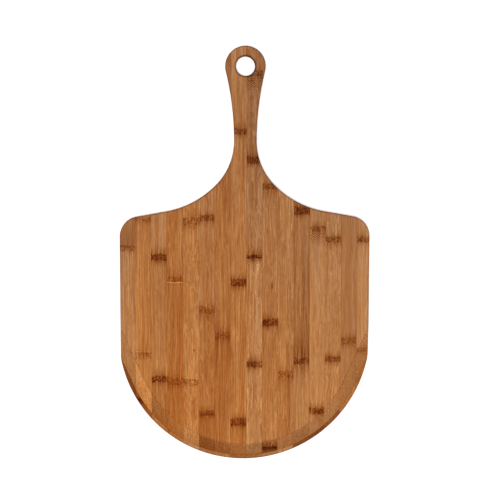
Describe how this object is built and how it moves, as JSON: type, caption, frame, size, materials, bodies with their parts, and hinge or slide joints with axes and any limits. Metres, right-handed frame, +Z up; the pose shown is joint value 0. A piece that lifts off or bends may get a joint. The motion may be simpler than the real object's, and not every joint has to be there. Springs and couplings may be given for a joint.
{
  "type": "pizza peel",
  "caption": "Flat bamboo pizza peel with a round bevelled front edge, square shoulders and a short waisted handle with a hanging hole, glued up from lengthwise strips.",
  "frame": {"origin": "under the middle of the peel's outline, at the level of its flat underside", "axes": "+Z up through the thickness, +Y along the peel from the bevelled front edge to the handle, +X to the right seen from above with the handle away"},
  "size_m": [0.3048, 0.508, 0.0095],
  "materials": {
    "bamboo_pale": "satin, lightly oiled, fine lengthwise grain with darker nodes",
    "bamboo_honey": "satin, lightly oiled, fine lengthwise grain with darker nodes",
    "bamboo_tan": "satin, lightly oiled, fine lengthwise grain with darker nodes",
    "bamboo_brown": "satin, lightly oiled, fine lengthwise grain with darker nodes"
  },
  "bodies": {
    "root": {"top_strip_01": "bamboo_tan", "top_strip_02": "bamboo_honey", "top_strip_03": "bamboo_tan", "top_strip_04": "bamboo_honey", "top_strip_05": "bamboo_honey", "top_strip_06": "bamboo_tan", "top_strip_07": "bamboo_honey", "top_strip_08": "bamboo_honey", "top_strip_09": "bamboo_pale", "top_strip_10": "bamboo_tan", "top_strip_11": "bamboo_tan", "top_strip_12": "bamboo_brown", "top_strip_13": "bamboo_pale", "top_strip_14": "bamboo_pale", "top_strip_15": "bamboo_tan", "top_strip_16": "bamboo_pale", "top_handle_sliver_left": "bamboo_honey", "top_handle_sliver_right": "bamboo_tan", "bottom_strip_01": "bamboo_brown", "bottom_strip_02": "bamboo_honey", "bottom_strip_03": "bamboo_honey", "bottom_strip_04": "bamboo_tan", "bottom_strip_05": "bamboo_tan", "bottom_strip_06": "bamboo_tan", "bottom_strip_07": "bamboo_honey", "bottom_strip_08": "bamboo_tan", "bottom_strip_09": "bamboo_honey", "bottom_strip_10": "bamboo_tan", "bottom_strip_11": "bamboo_tan", "bottom_strip_12": "bamboo_brown", "bottom_strip_13": "bamboo_brown", "bottom_strip_14": "bamboo_brown", "bottom_strip_15": "bamboo_tan", "bottom_strip_16": "bamboo_tan", "bottom_handle_sliver_left": "bamboo_honey", "bottom_handle_sliver_right": "bamboo_tan"}
  },
  "joints": []
}
